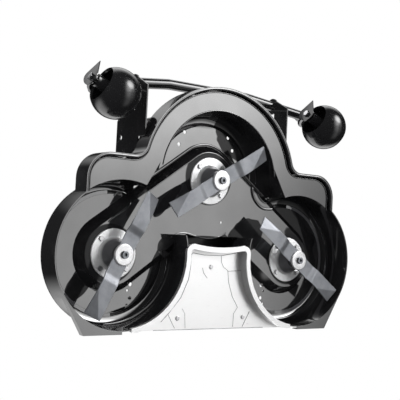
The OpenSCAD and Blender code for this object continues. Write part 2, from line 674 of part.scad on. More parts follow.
// Front tube: one bent tube with a welded kingpin sleeve at each end
tube_wall = 3;
tube_swage = 0.7;
tube_lap = 2;
king_r = 9;
sleeve_wall = 1.5;
sleeve_past = 1;
sleeve_r = tube_r + sleeve_wall;
sleeve_low = tube_z - tube_r - sleeve_past;
sleeve_h = 2 * tube_r + 4 * sleeve_past;
tube_turn = atan2(tube_y - king_y, king_x - tube_mid_x);
module tube_side(r) translate([king_x, king_y, tube_z]) rotate([90, 0, 270 - tube_turn])
    cylinder(h = norm([king_x - tube_mid_x, tube_y - king_y]) + tube_lap, r = r);
module tube_form(d) {
    reach = d > 0 ? tube_mid_x - tube_lap / 2 : tube_mid_x;
    translate([-reach, tube_y, tube_z]) rotate([0, 90, 0]) cylinder(h = 2 * reach, r = tube_r - d);
    both() tube_side(tube_r - tube_swage - d);
}
module at_kingpins() both() translate([king_x, king_y, 0]) children();
module front_tube() color([0.05, 0.05, 0.05]) in_deck() difference() {
    union() {
        tube_form(0);
        at_kingpins() translate([0, 0, sleeve_low]) cylinder(h = sleeve_h, r = sleeve_r);
    }
    difference() {
        tube_form(tube_wall);
        at_kingpins() cylinder(h = 2 * tube_z, r = sleeve_r - tube_wall / 2);
    }
    at_kingpins() cylinder(h = 2 * tube_z, r = king_r + run_gap);
}

// Front brackets: an upright plate with a tower, a foot on the shell and an arm to the tube
tower_rear = 296;
tower_front = 490;
arm_low = 33;
arm_high = 108;
arm_rear = 396;
boss_w = 12;
boss_r = tube_r + boss_w;
arm_corner_shares = [0.6, 0.8];
foot_w = 40;
foot_l = 26;
tube_at_bracket = tube_y - (bracket_x - tube_mid_x) * (tube_y - king_y) / (king_x - tube_mid_x);
hanger_front_y = 400;
hanger_front_z = 196;
module front_bracket(side) color([0.03, 0.03, 0.03]) on_side(side) difference() {
    union() {
        translate([bracket_x - bracket_t / 2, 0, 0]) rotate([90, 0, 90]) linear_extrude(bracket_t) union() {
            polygon([[tower_rear, skirt_h + seat_gap], [arm_rear, skirt_h + seat_gap], [arm_rear, arm_low],
                [tube_at_bracket - boss_r / 2, arm_low],
                [tube_at_bracket + boss_r * arm_corner_shares[0], tube_z - boss_r * arm_corner_shares[1]],
                [tube_at_bracket, tube_z], [tube_at_bracket - boss_r, arm_high], [tower_front, arm_high],
                [tower_front, tower_z - boss_r], [tower_front - boss_r, tower_z],
                [tower_rear + boss_r, tower_z], [tower_rear, tower_z - boss_r]]);
            translate([tube_at_bracket, tube_z]) circle(r = boss_r);
        }
        translate([bracket_x, tower_rear, skirt_h + seat_gap]) cube([foot_w, foot_l, bracket_t]);
    }
    tube_side(tube_r - tube_swage + seat_gap);
    translate([bracket_x - bracket_t, hanger_front_y, hanger_front_z]) rotate([0, 90, 0])
        cylinder(h = 2 * bracket_t, r = hanger_r);
}
stay_y = 402;
stay_l = 46;
stay_low = 40;
stay_h = 32;
stay_end_r = 13.8;
module bracket_stay(side) color([0.04, 0.04, 0.04]) on_side(side) difference() {
    union() {
        translate([0, stay_y, stay_low]) cube([bracket_x - bracket_t / 2 - seat_gap, stay_l, stay_h]);
        translate([bracket_x - stay_l + stay_end_r, stay_y + stay_l, stay_low])
            cylinder(h = stay_h, r = stay_end_r);
    }
    translate([0, spindle_y, 0]) cylinder(h = 2 * skirt_h, r = front_r + seat_gap, $fn = fine_fn);
    translate([0, spindle_y - skirt_h, -skirt_h]) cube([bracket_x / 2, 4 * skirt_h, 4 * skirt_h]);
}

// Rear hangers: angle plates that stand on the side lobes
rear_hanger_x = 385;
rear_hanger_l = 36;
hanger_clear = 4;
rear_hanger_y = -cover_foot_r - hanger_clear - rear_hanger_l / 2;
rear_hanger_h = 76;
rear_foot_w = 30;
module rear_hanger(side) color([0.05, 0.05, 0.05]) on_side(side)
    translate([rear_hanger_x, rear_hanger_y, ceiling_z + sheet_t + seat_gap]) difference() {
        union() {
            translate([0, -rear_hanger_l / 2, 0])
                cube([bracket_t, rear_hanger_l, rear_hanger_h - rear_hanger_l / 2]);
            translate([0, 0, rear_hanger_h - rear_hanger_l / 2]) rotate([0, 90, 0])
                cylinder(h = bracket_t, r = rear_hanger_l / 2);
            translate([0, -rear_hanger_l / 2, 0]) cube([rear_foot_w, rear_hanger_l, bracket_t]);
        }
        translate([-cut_over, 0, rear_hanger_h - rear_hanger_l / 2]) rotate([0, 90, 0])
            cylinder(h = bracket_t + 2 * cut_over, r = hanger_r);
    }

// Casters: everything in a frame at the kingpin, X along the wheel's axle
module at_caster(side) in_deck() translate([side * king_x, king_y, 0]) rotate(caster_yaw) children();
module at_wheel(side) at_caster(side)
    translate([-caster_side, -caster_trail, ball_z]) rotate([0, 90, 0]) children();
crown_t = 8;
crown_z = sleeve_low - seat_gap - crown_t;
crown_r = 15;
crown_lean = 6;
axle_r = 7;
king_nut_h = 10;
king_nut_r = 14.4;
arm_rise = asin((crown_z + crown_t / 2 - ball_z) / (ball_r + arm_clear + arm_t));
module caster_arm(side) color([0.05, 0.05, 0.05]) at_caster(side) difference() {
    union() {
        translate([0, 0, crown_z]) linear_extrude(crown_t)
            link_plan([0, 0], [crown_lean, -caster_trail], crown_r);
        translate([0, 0, crown_z])
            cylinder(h = crown_t + sleeve_h + king_nut_h + 5 * seat_gap + king_r / 2, r = king_r);
        translate([-caster_side, -caster_trail + arm_w / 2, ball_z]) rotate([90, 0, 0])
            rotate_extrude(angle = arm_rise)
                translate([ball_r + arm_clear, 0]) square([arm_t, arm_w]);
        translate([ball_r + arm_clear - caster_side, -caster_trail, ball_z]) rotate([0, 90, 0])
            cylinder(h = arm_t, r = arm_w / 2);
    }
    translate([0, -caster_trail, ball_z]) rotate([0, 90, 0])
        cylinder(h = 2 * ball_r, r = axle_r + run_gap);
}
module caster_nut(side) color([0.7, 0.7, 0.72]) at_caster(side)
    translate([0, 0, sleeve_low + sleeve_h + seat_gap]) difference() {
        cylinder(h = king_nut_h, r = king_nut_r, $fn = 6);
        translate([0, 0, -cut_over]) cylinder(h = king_nut_h + 2 * cut_over, r = king_r + run_gap);
    }
// Hollow ball wheel, open at the arm's end, where its hub has a narrow nose beside the arm
wheel_wall = 8;
hub_r = 22;
hub_end = 52;
hub_shoulder = 42;
nose_r = 10;
nose_end = ball_r + arm_clear - 3 * seat_gap;
hub_face = sqrt(pow(ball_r + arm_clear, 2) - pow(hub_r, 2)) - 3 * seat_gap;
inner_cut_shares = [0.9, 0.55];
module ball_wheel(side) color([0.06, 0.06, 0.06]) at_wheel(side) rotate_extrude() polygon(concat(
    [[axle_r + run_gap, -hub_end], [hub_r, -hub_end], [hub_r + wheel_wall, -ball_r * sin(wheel_cut_angle)]],
    arc([0, 0], ball_r, -wheel_cut_angle, wheel_cut_angle, arc_steps * 2),
    arc([0, 0], ball_r - wheel_wall, wheel_cut_angle * inner_cut_shares[0],
        -wheel_cut_angle * inner_cut_shares[1], arc_steps),
    [[hub_r, -hub_shoulder], [hub_r, hub_face], [nose_r, hub_face], [nose_r, nose_end],
        [axle_r + run_gap, nose_end]]));
bolt_above = ball_r + arm_clear + arm_t + keeper_t;
module wheel_bolt(side) color([0.8, 0.8, 0.82]) at_wheel(side) {
    translate([0, 0, bolt_above + 2 * seat_gap]) cylinder(h = wheel_head_h, r = wheel_head_r, $fn = 6);
    translate([0, 0, -hub_end - wheel_head_h])
        cylinder(h = hub_end + bolt_above + 2 * wheel_head_h, r = axle_r);
    translate([0, 0, -hub_end - wheel_head_h - seat_gap])
        cylinder(h = wheel_head_h, r = wheel_head_r, $fn = 6);
}
module keeper_plan() {
    circle(r = keeper_boss_r);
    polygon([[0, keeper_boss_r], [0, -keeper_boss_r],
        [keeper_tip - keeper_tip_r, -keeper_tip_r], [keeper_tip, 0],
        [keeper_tip - keeper_tip_r, keeper_tip_r]]);
}
module keeper_plate(side) color([0.12, 0.12, 0.12]) at_caster(side)
    translate([keeper_x + seat_gap, -caster_trail, ball_z]) rotate([0, 90, 0]) rotate(90) difference() {
        linear_extrude(keeper_t - seat_gap) keeper_plan();
        translate([0, 0, -cut_over]) cylinder(h = 2 * keeper_t, r = axle_r + run_gap);
    }

deck_shell();
tunnel_tray();
tunnel_liner();
tray_screws();
spindle_housing(0);  // spindle_housing_l
spindle_housing(1);  // spindle_housing_c
spindle_housing(2);  // spindle_housing_r
flange_bolts(0);  // flange_bolts_l
flange_bolts(1);  // flange_bolts_c
flange_bolts(2);  // flange_bolts_r
bearings(0);  // bearings_l
bearings(1);  // bearings_c
bearings(2);  // bearings_r
spindle_shaft(0);  // spindle_shaft_l
spindle_shaft(1);  // spindle_shaft_c
spindle_shaft(2);  // spindle_shaft_r
blade(0);  // blade_l
blade(1);  // blade_c
blade(2);  // blade_r
blade_washer(0);  // blade_washer_l
blade_washer(1);  // blade_washer_c
blade_washer(2);  // blade_washer_r
blade_bolt(0);  // blade_bolt_l
blade_bolt(1);  // blade_bolt_c
blade_bolt(2);  // blade_bolt_r
pulley(0);  // pulley_l
pulley(1);  // pulley_c
pulley(2);  // pulley_r
pulley_nut(0);  // pulley_nut_l
pulley_nut(1);  // pulley_nut_c
pulley_nut(2);  // pulley_nut_r
deck_belt();
idler_arm();
idler_pivot_bolt();
idler_pulley();
idler_bolt();
front_tube();
belt_cover(1);  // belt_cover_l
belt_cover(-1);  // belt_cover_r
cover_screws(1);  // cover_screws_l
cover_screws(-1);  // cover_screws_r
front_bracket(1);  // front_bracket_l
front_bracket(-1);  // front_bracket_r
bracket_stay(1);  // bracket_stay_l
bracket_stay(-1);  // bracket_stay_r
rear_hanger(1);  // rear_hanger_l
rear_hanger(-1);  // rear_hanger_r
caster_arm(1);  // caster_arm_l
caster_arm(-1);  // caster_arm_r
caster_nut(1);  // caster_nut_l
caster_nut(-1);  // caster_nut_r
ball_wheel(1);  // ball_wheel_l
ball_wheel(-1);  // ball_wheel_r
wheel_bolt(1);  // wheel_bolt_l
wheel_bolt(-1);  // wheel_bolt_r
keeper_plate(1);  // keeper_plate_l
keeper_plate(-1);  // keeper_plate_r
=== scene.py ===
"""A triple-spindle lawn mower deck seen from below, as it is put together on the bench."""

import bmesh
import bpy
import numpy as np
from mathutils import Matrix, Vector


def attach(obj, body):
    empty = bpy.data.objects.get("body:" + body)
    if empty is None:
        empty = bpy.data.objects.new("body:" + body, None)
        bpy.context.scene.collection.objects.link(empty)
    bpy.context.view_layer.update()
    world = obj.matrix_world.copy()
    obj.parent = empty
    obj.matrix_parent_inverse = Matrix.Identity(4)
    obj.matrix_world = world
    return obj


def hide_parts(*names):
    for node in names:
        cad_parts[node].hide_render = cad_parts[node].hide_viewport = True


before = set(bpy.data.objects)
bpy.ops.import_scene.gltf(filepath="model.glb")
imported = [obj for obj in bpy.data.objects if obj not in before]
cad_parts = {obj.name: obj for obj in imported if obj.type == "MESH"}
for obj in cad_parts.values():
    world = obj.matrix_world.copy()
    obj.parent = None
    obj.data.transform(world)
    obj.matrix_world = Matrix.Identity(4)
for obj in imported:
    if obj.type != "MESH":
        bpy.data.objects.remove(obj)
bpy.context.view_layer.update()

# Deck shell: pressed steel sheet, three blade chambers in one pan, with a skirt round the front.
# It is welded, primed and dipped in black gloss enamel, so its edges are soft and it mirrors
# whatever pale thing stands below it. In the listed zones its coat is turned off: painted
# shade where the chambers lie in shadow.
DECK_TO_ROW = np.array([0.0, -0.18075, 0.070])     # deck frame to row frame, in metres
side_x, front_y = 0.375, 0.270
SPINDLES = {"l": (side_x, 0.0), "c": (0.0, front_y), "r": (-side_x, 0.0)}
SIDES = {"l": 1, "r": -1}


class Value:
    """A shader socket. Arithmetic on it adds Math nodes."""

    def __init__(self, nodes, socket):
        self.nodes, self.socket = nodes, socket

    def math(self, operation, other, swapped=False):
        first, second = (other, self) if swapped else (self, other)
        return self.nodes.node("ShaderNodeMath", {"operation": operation}, {0: first, 1: second})

    def __add__(self, other):
        return self.math("ADD", other)

    __radd__ = __add__

    def __mul__(self, other):
        return self.math("MULTIPLY", other)

    __rmul__ = __mul__

    def __sub__(self, other):
        return self.math("SUBTRACT", other)

    def __rsub__(self, other):
        return self.math("SUBTRACT", other, swapped=True)

    def __pow__(self, other):
        return self.math("POWER", other)


class Nodes:
    """A node tree. node() adds any node: its settings first, then what its sockets get."""

    def __init__(self, tree):
        self.tree = tree

    def set(self, target, values):
        for key, value in values.items():
            key = key.replace("_", " ") if isinstance(key, str) else key
            if isinstance(value, Value):
                self.tree.links.new(value.socket, target.inputs[key])
            else:
                target.inputs[key].default_value = value

    def node(self, kind, settings=None, inputs=None, out=0):
        made = self.tree.nodes.new(kind)
        for key, value in (settings or {}).items():
            setattr(made, key, value)
        self.set(made, inputs or {})
        return Value(self, made.outputs[out])

    def range(self, value, low, high, start=0.0, stop=1.0):
        """From start to stop in a smooth step, as the value goes from low to high."""
        return self.node("ShaderNodeMapRange", {"interpolation_type": "SMOOTHSTEP"}, {
            "Value": value, "From Min": low, "From Max": high, "To Min": start, "To Max": stop})

    def axes(self, vector):
        """The X, Y and Z of a vector."""
        return [self.node("ShaderNodeSeparateXYZ", None, {"Vector": vector}, out=axis)
                for axis in "XYZ"]


class Finish(Nodes):
    """One material: node values on Object coordinates for the sockets of its surface shader."""

    def __init__(self, name, **constants):
        self.material = bpy.data.materials.new(name)
        self.material.use_nodes = True
        super().__init__(self.material.node_tree)
        self.shader = self.tree.nodes["Principled BSDF"]
        self.place = self.node("ShaderNodeTexCoord", out="Object")
        self.set(self.shader, constants)

    def noise(self, scale, detail=3.0, rough=0.5, place=None):
        return self.node("ShaderNodeTexNoise", None, {
            "Vector": place or self.place, "Scale": scale, "Detail": detail, "Roughness": rough})

    def stretched(self, scale):
        return self.node("ShaderNodeMapping", None, {"Vector": self.place, "Scale": scale})

    def turned_place(self, centre, degrees, radii=(1.0, 1.0, 1.0)):
        """The place as seen from a centre, turned round Z, and counted in radii."""
        return self.node("ShaderNodeMapping", {"vector_type": "TEXTURE"}, {
            "Vector": self.place, "Location": centre, "Rotation": (0, 0, np.radians(degrees)),
            "Scale": radii})

    def mix(self, factor, a, b):
        return self.node("ShaderNodeMix", {"data_type": "RGBA"}, {0: factor, 6: a, 7: b}, out=2)

    def bump(self, height, strength, distance, radius=0.0):
        """A bump over the mesh, or over the mesh with its edges rounded by that radius."""
        inputs = {"Height": height, "Strength": strength, "Distance": distance}
        if radius:
            inputs["Normal"] = self.node("ShaderNodeBevel", {"samples": 6}, {"Radius": radius})
        return self.node("ShaderNodeBump", None, inputs)

    def done(self, **links):
        self.set(self.shader, links)
        return self.material


def enamel(name, depth=0.012, rough=0.10, peel=0.35, edge=0.0, gloss_ior=1.75, zones=()):
    """Black gloss enamel: a faint orange peel, dust that dulls it in clouds, small pinholes.
    A zone is an ellipsoid of painted shade, in which the coat mirrors nothing, as (centre, radii,
    degrees round Z, waviness of its border). depth is the colour, and edge the radius that softens
    the edges."""
    paint = Finish(name, IOR=1.25, Coat_Roughness=0.05, Coat_IOR=gloss_ior)
    cloud = paint.noise(9.0, 4.0)
    grain = paint.noise(420.0, 2.0)
    pinhole = paint.range(paint.noise(900.0, 1.0), 0.70, 0.78)
    tone = paint.mix(paint.range(cloud, 0.42, 0.68), (depth, depth, depth * 1.08, 1),
                     (depth * 1.9, depth * 1.9, depth * 2.0, 1))
    ripple = paint.noise(150.0, 2.0) * 0.7 + grain * 0.3
    coat = paint.range(cloud, 0.2, 0.8, 1.0, 0.86)
    wave = paint.noise(16.0, 2.0) - 0.5
    # Painted shade: inside each zone the coat fades out, so the enamel mirrors nothing there.
    for centre, radii, degrees, wavy in zones:
        local = paint.turned_place(tuple(np.array(centre) + DECK_TO_ROW), degrees, radii)
        apart = paint.node("ShaderNodeVectorMath", {"operation": "LENGTH"}, {0: local}, "Value")
        coat = coat * paint.range(apart + wave * wavy, 0.96, 1.01, 0.04, 1.0)
    return paint.done(Base_Color=paint.mix(pinhole * 0.5, tone, (0.06, 0.06, 0.06, 1)),
                      Coat_Weight=coat,
                      Roughness=paint.range(cloud, 0.35, 0.7, rough, rough + 0.10),
                      Normal=paint.bump(ripple, peel, 0.0004, edge))


def round_off(piece, width, limit_deg=40.0):
    """A bevel of that width on edges sharper than the limit. Large faces keep their normals."""
    soft = piece.modifiers.new("soft_edges", "BEVEL")
    soft.width = width
    soft.segments = 3
    soft.limit_method = "ANGLE"
    soft.angle_limit = np.radians(limit_deg)
    soft.use_clamp_overlap = True
    even = piece.modifiers.new("even_normals", "WEIGHTED_NORMAL")
    even.mode = "FACE_AREA"
    even.weight = 80
    even.keep_sharp = True


def placed(name, mesh, material, smooth_deg, bevel, limit_deg):
    """An object of a mesh, in one material, sharp at edges over smooth_deg, with soft edges."""
    mesh.materials.clear()
    mesh.materials.append(material)
    mesh.shade_smooth()
    mesh.set_sharp_from_angle(angle=np.radians(smooth_deg))
    piece = bpy.data.objects.new(name, mesh)
    bpy.context.scene.collection.objects.link(piece)
    if bevel:
        round_off(piece, bevel, limit_deg)
    return piece


def pressed_copy(node, material, body, bevel, smooth_deg=35.0):
    """The CAD node's solid as one merged mesh of flat faces, with softened edges."""
    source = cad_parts[node]
    work = bmesh.new()
    work.from_mesh(source.data)
    work.transform(source.matrix_world)
    bmesh.ops.remove_doubles(work, verts=work.verts, dist=2e-5)
    bmesh.ops.dissolve_limit(work, angle_limit=np.radians(0.4), verts=work.verts,
                             edges=work.edges)
    mesh = bpy.data.meshes.new(node + "_finished")
    work.to_mesh(mesh)
    work.free()
    piece = placed(node + "_finished", mesh, material, smooth_deg, bevel, smooth_deg)
    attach(piece, body)
    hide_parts(node)


# Painted shade: zones in which the shell's coat is turned off, where the chambers lie in shadow.
painted_shade_zones = [
    ((-0.18, 0.47, 0.12), (0.147, 0.118, 0.07), 0, 0.3),          # front lobe, right of the front
    ((-0.172, 0.081, 0.084), (0.088, 0.062, 0.02), -25, 0.4),     # pan, right arm
    ((0.20, -0.04, 0.084), (0.10, 0.032, 0.03), -69, 0.3),        # pan, rear of the left arm
    ((0.478, -0.105, 0.11), (0.065, 0.036, 0.03), -51, 0.3),      # left chamber, rear outer wall
    ((0.172, 0.190, 0.084), (0.080, 0.018, 0.02), -49, 0.5),      # pan, front of the left arm
    ((-0.42, 0.10, 0.12), (0.13, 0.14, 0.04), 0, 0.3),            # right chamber, front outer wall
    ((0.0, 0.044, 0.12), (0.17, 0.034, 0.09), 0, 0.0),            # front chamber, rear wall
    ((0.170, 0.028, 0.09), (0.036, 0.040, 0.06), 20, 0.2),        # round the folded tab
    ((0.387, 0.000, 0.084), (0.100, 0.100, 0.012), 0, 0.0),       # round the left flange
    ((0.004, 0.284, 0.084), (0.102, 0.102, 0.012), 0, 0.0),       # round the front flange
    ((-0.383, 0.002, 0.084), (0.098, 0.098, 0.012), 0, 0.0)]      # round the right flange
shell_gloss = 2.6
shell_paint = enamel("black_enamel", peel=0.12, edge=0.005, gloss_ior=shell_gloss,
                     zones=painted_shade_zones)
pressed_copy("deck_shell", shell_paint, "deck", 0.0016, smooth_deg=32.0)


# Skirt hem, beads and ceiling steps: rolled and pressed in the shell's own sheet, and dipped
# with it. The hem closes the skirt's lower edge. Beads stiffen the baffle band, the chambers'
# mouths and the slopes of the pan, and each side chamber has a step in its ceiling.
def grid_faces(rows, columns, wrap_rows=False, wrap_columns=False):
    """Quads of a grid of points numbered row by row."""
    r = np.arange(rows if wrap_rows else rows - 1)
    c = np.arange(columns if wrap_columns else columns - 1)
    r, c = np.meshgrid(r, c, indexing="ij")
    r2, c2 = (r + 1) % rows, (c + 1) % columns
    corners = [r * columns + c, r * columns + c2, r2 * columns + c2, r2 * columns + c]
    return np.stack(corners, -1).reshape(-1, 4)


def turned_over(faces):
    """The same faces seen from their other side, each still starting at its first corner."""
    return [tuple(face[:1]) + tuple(face[:0:-1]) for face in faces]


def tube_faces(sections, points, way=1):
    """Faces of a tube of sections with that many points each: quads round it, a polygon on
    each end. A way of -1 turns them over."""
    start = np.arange(points)
    faces = [tuple(quad) for quad in grid_faces(sections, points, False, True)]
    faces += [tuple(start[::-1]), tuple((sections - 1) * points + start)]
    return faces if way > 0 else turned_over(faces)


def swept(path, radius, sides=16):
    """Points and faces of a closed tube along a path: p + radius (cos a n + sin a b), with n
    level and b square to both n and the path."""
    path = np.asarray(path, float)
    ahead = np.gradient(path, axis=0)
    ahead /= np.linalg.norm(ahead, axis=1)[:, None]
    level = np.cross(ahead, (0.0, 0.0, 1.0))
    level /= np.linalg.norm(level, axis=1)[:, None]
    upward = np.cross(level, ahead)
    a = np.linspace(0, 2 * np.pi, sides, endpoint=False)[None, :, None]
    verts = path[:, None] + radius * (np.cos(a) * level[:, None] + np.sin(a) * upward[:, None])
    return verts.reshape(-1, 3), tube_faces(len(path), sides, -1)


def arc(centre, radius, start, stop, steps):
    """Points of an arc: centre + radius (cos a, sin a), a in degrees from start to stop."""
    a = np.radians(np.linspace(start, stop, steps))
    return np.asarray(centre) + radius * np.stack([np.cos(a), np.sin(a)], -1)


def raised(points, height):
    """Points of a plane, lifted to one height or each to its own."""
    return np.column_stack([points, np.broadcast_to(height, (len(points),))])


def add_piece(name, verts, faces, material, body, nodes=(), smooth_deg=35.0, bevel=0.0):
    """A mesh object from points and faces in the deck frame, which rides on a body."""
    verts = np.asarray(verts, float).reshape(-1, 3) + DECK_TO_ROW
    mesh = bpy.data.meshes.new(name)
    mesh.from_pydata(verts.tolist(), [], [list(map(int, face)) for face in faces])
    mesh.validate()
    piece = placed(name, mesh, material, smooth_deg, bevel, 40.0)
    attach(piece, body)
    if nodes:
        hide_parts(*nodes)


lobe_r, neck_r, shoulder_r, flank_x, flank_end = 0.326, 0.045, 0.085, 0.527, 0.196
arm_middle, arm_normal = np.array([0.195, 0.130]), np.array([0.585, 0.811])


def skirt_path(inside):
    """Half of the skirt's outline, that far inside it: arcs round the front lobe, the neck and
    the shoulder, and a straight line down to the side lobe."""
    return np.concatenate([arc((0.0, front_y), lobe_r - inside, 90, 15.8, 70),
                           arc((0.357, 0.371), neck_r + inside, 195.8, 270, 24)[1:],
                           arc((0.442, 0.241), shoulder_r - inside, 90, 0, 30),
                           [[flank_x - inside, flank_end]]])


def arm_edge(away):
    """Half of the pan's front edge, that far from the spindles: an arc round the front one and
    a straight line to the middle of the arm."""
    return np.concatenate([arc((0.0, front_y), away, 90, 54.2, 16),
                           [arm_middle + away * arm_normal]])


# The same enamel without the painted shade zones, so the slope and arm beads and the folded tab
# keep their full coat.
edge_paint = enamel("edge_enamel", gloss_ior=shell_gloss)
# The ceiling steps get a lighter grey than the black shell they are pressed in: a painted
# highlight on the same enamel.
step_highlight_paint = enamel("step_enamel_highlight", 0.10, gloss_ior=2.4)
mouth = arc((0.0, front_y), 0.2450, 90, 8, 60)
side_rim = arc((side_x, 0.0), 0.2432, 50, -24, 60)
beads = {                       # half path, height, radius, paint
    "skirt_hem_": (skirt_path(0.0058), 0.0054, 0.0052, shell_paint),
    "band_bead_": (skirt_path(0.0175), 0.0156, 0.0022, shell_paint),
    "mouth_bead_": (mouth, 0.0156, 0.0024, shell_paint),
    "side_rim_": (side_rim, 0.0026, 0.0024, shell_paint),
    "slope_bead_": (arm_edge(0.1325), 0.1136, 0.0042, edge_paint),
    "arm_bead_": (arm_edge(0.1020), 0.0858, 0.0026, edge_paint)}
step_section = [(0.1985, 0.1146), (0.2095, 0.1146), (0.2095, 0.1158), (0.1985, 0.1158)]
step_count = 80
for side, sign in SIDES.items():
    for name, (half_path, height, radius, paint) in beads.items():
        verts, faces = swept(raised(half_path * (sign, 1), height), radius)
        add_piece(name + side, verts, faces, paint, "deck", smooth_deg=60.0)
    rings = [raised(arc((sign * side_x, 0.0), r, 90 - sign * 5, 90 - sign * 185, step_count), z)
             for r, z in step_section]
    add_piece("ceiling_step_" + side, np.stack(rings, 1),
              tube_faces(step_count, len(step_section), sign), step_highlight_paint, "deck")

# Pan lip, web, ribs and tab: small forms pressed into the pan, in the same sheet and enamel.
# The lip is rolled along the pan's rear edge and the web closes the notch before it. The ribs
# stiffen the cusps between the chambers, and the tab is folded down beside the tray.
lip_fit = np.array([(0.158, 0.056), (0.142, 0.0688), (0.119, 0.0787), (0.095, 0.0811),
                    (0.070, 0.0777), (0.037, 0.0690), (-0.0075, 0.0655), (-0.052, 0.0735),
                    (-0.0825, 0.0895)])
lip_x = np.linspace(lip_fit[0, 0], lip_fit[-1, 0], 48)
lip = np.column_stack([lip_x, np.polyval(np.polyfit(*lip_fit.T, 6), lip_x)])
verts, faces = swept(raised(lip, 0.0862), 0.0036)
add_piece("pan_rear_lip", verts, faces, shell_paint, "deck", smooth_deg=60.0)


def slab(outline, low, thick):
    """Points and faces of a slab: the outline at its low height or heights and again a
    thickness above it, with a wall between, turned by the outline's signed area."""
    x, y = outline.T
    count = len(outline)
    i = np.arange(count)
    verts = np.concatenate([raised(outline, low), raised(outline, np.asarray(low) + thick)])
    walls = np.stack([i, count + i, count + (i + 1) % count, (i + 1) % count], -1)
    faces = [tuple(i), tuple(2 * count - 1 - i)] + [tuple(wall) for wall in walls]
    clockwise = np.sum(x * np.roll(y, -1) - np.roll(x, -1) * y) < 0
    return verts, faces if clockwise else turned_over(faces)


web = np.concatenate([lip[8:], [(-0.112, 0.078), (0.0, 0.156), (0.118, 0.074)]])
verts, faces = slab(web, 0.0838, 0.0020)
add_piece("pan_web", verts, faces, shell_paint, "deck")
ribs = {
    "hook_rib": (0.0024, [(0.3988, 0.1043), (0.3722, 0.1247), (0.3431, 0.1455),
                          (0.3223, 0.1641), (0.3160, 0.1838), (0.3201, 0.2008),
                          (0.3360, 0.2074), (0.3555, 0.2040), (0.3656, 0.1918)]),
    "cusp_rib": (0.0058, [(-0.1914, 0.2698), (-0.1960, 0.2440), (-0.2065, 0.2210),
                          (-0.2260, 0.2008), (-0.2514, 0.1880), (-0.2919, 0.1881)]),
    "cusp_rib_inner": (0.0035, [(-0.2198, 0.2529), (-0.2272, 0.2319), (-0.2467, 0.2141),
                                (-0.2688, 0.2084)])}
arm_half, slope_run, slope_rise, rib_z = 0.104, 0.028, 0.031, 0.0835
for name, (radius, points) in ribs.items():
    last = len(points) - 1
    fine = np.linspace(0, last, 60)
    x, y = (np.polyval(np.polyfit(np.arange(last + 1), along, min(5, last)), fine)
            for along in zip(*points))
    from_arm = np.abs((np.abs(x) - side_x) * arm_normal[0] + y * arm_normal[1])
    height = rib_z + slope_rise * np.clip((from_arm - arm_half) / slope_run, 0, 1)
    verts, faces = swept(np.column_stack([x, y, height]), radius)
    add_piece(name, verts, faces, shell_paint, "deck", smooth_deg=60.0)
tab = np.array([(0.201, 0.012), (0.183, 0.020), (0.152, 0.007), (0.176, -0.008)])
verts, faces = slab(tab, [0.0815, 0.080, 0.0835, 0.0838], 0.0016)
add_piece("folded_tab", verts, faces, edge_paint, "deck")


# Tunnel tray: bright pressed steel under the discharge tunnel, with a rolled rim and three
# countersunk screws. A black liner lies on it inside the tunnel. The press leaves fine draw
# lines, and folded seams stiffen the floor and close its rear edge. The seams and the rear edge
# are thin tubes in a dark grey steel: painted shade in the folds.
def bare_steel(name, tone, rough, grain_scale=(4.0, 260.0, 260.0), grain=0.10, metallic=1.0,
               dirt=0.80):
    """Bare metal: brush lines along X of a stretched noise, with stains and fine scratches."""
    metal = Finish(name, Metallic=metallic)
    lines = metal.noise(1.0, 4.0, 0.6, place=metal.stretched(grain_scale))
    stain = metal.noise(7.0, 5.0, 0.62)
    fine = metal.noise(1.0, 2.0, 0.5, place=metal.stretched((30.0, 900.0, 900.0)))
    scratch = metal.range(fine, 0.66, 0.74)
    light = tuple(min(1.0, c * 1.06) for c in tone) + (1,)
    dull = tuple(c * dirt for c in tone) + (1,)
    colour = metal.mix(metal.range(stain, 0.40, 0.72), light, dull)
    return metal.done(Base_Color=metal.mix(scratch * 0.35, colour, (0.45, 0.46, 0.48, 1)),
                      Roughness=metal.range(lines, 0.3, 0.7, rough - 0.05, rough + 0.08),
                      Normal=metal.bump(lines * 0.7 + stain * 0.3, grain, 0.0003))


tray_metal = bare_steel("tray_steel", (1.0, 1.0, 1.0), 0.34, grain=0.05, metallic=0.88,
                        dirt=0.98)
# Dark grey for the seams and the rear edge: painted shade in the folds of the tray.
seam_shade_metal = bare_steel("tray_seam", (0.30, 0.30, 0.31), 0.45)
zinc = bare_steel("zinc_plate", (0.66, 0.66, 0.67), 0.30, (90.0, 90.0, 90.0), 0.05)
liner_paint = enamel("liner_black", 0.02, 0.45, 0.2)
tray_floor, tray_rear, tray_half = 0.0352, -0.2488, 0.235
seams = [                       # radius, points on the floor
    (0.0011, [(0.2063, -0.2217), (0.1795, -0.1958), (0.1309, -0.1408), (0.1024, -0.0773),
              (0.0963, -0.0331), (0.0957, 0.0061), (0.0902, 0.0137), (0.0416, 0.0077),
              (-0.0326, 0.0072), (-0.0955, 0.0182)]),
    (0.0008, [(-0.0326, 0.0072), (-0.034, -0.0154), (-0.0445, -0.0328), (-0.0642, -0.0451),
              (-0.0699, -0.0855), (-0.0889, -0.1361), (-0.1150, -0.1744),
              (-0.0991, -0.1971), (-0.0975, -0.2440)]),
    (0.0007, [(-0.0644, -0.0471), (-0.1219, -0.0436)]),
    (0.0007, [(0.1795, -0.1958), (0.1635, -0.2225), (0.1494, -0.2440)]),
    (0.0006, [(0.1228, -0.1772), (0.1112, -0.1943), (0.1068, -0.2440)]),
    (0.0010, [(-0.1701, -0.1903), (-0.1402, -0.2440)]),
    (0.0008, [(0.0461, -0.0371), (0.0408, -0.0543), (0.0244, -0.0725)]),
    (0.0040, [(-0.1629, -0.2339), (-0.1629, -0.2338)])]
pressed_copy("tunnel_tray", tray_metal, "deck", 0.0035, smooth_deg=30.0)
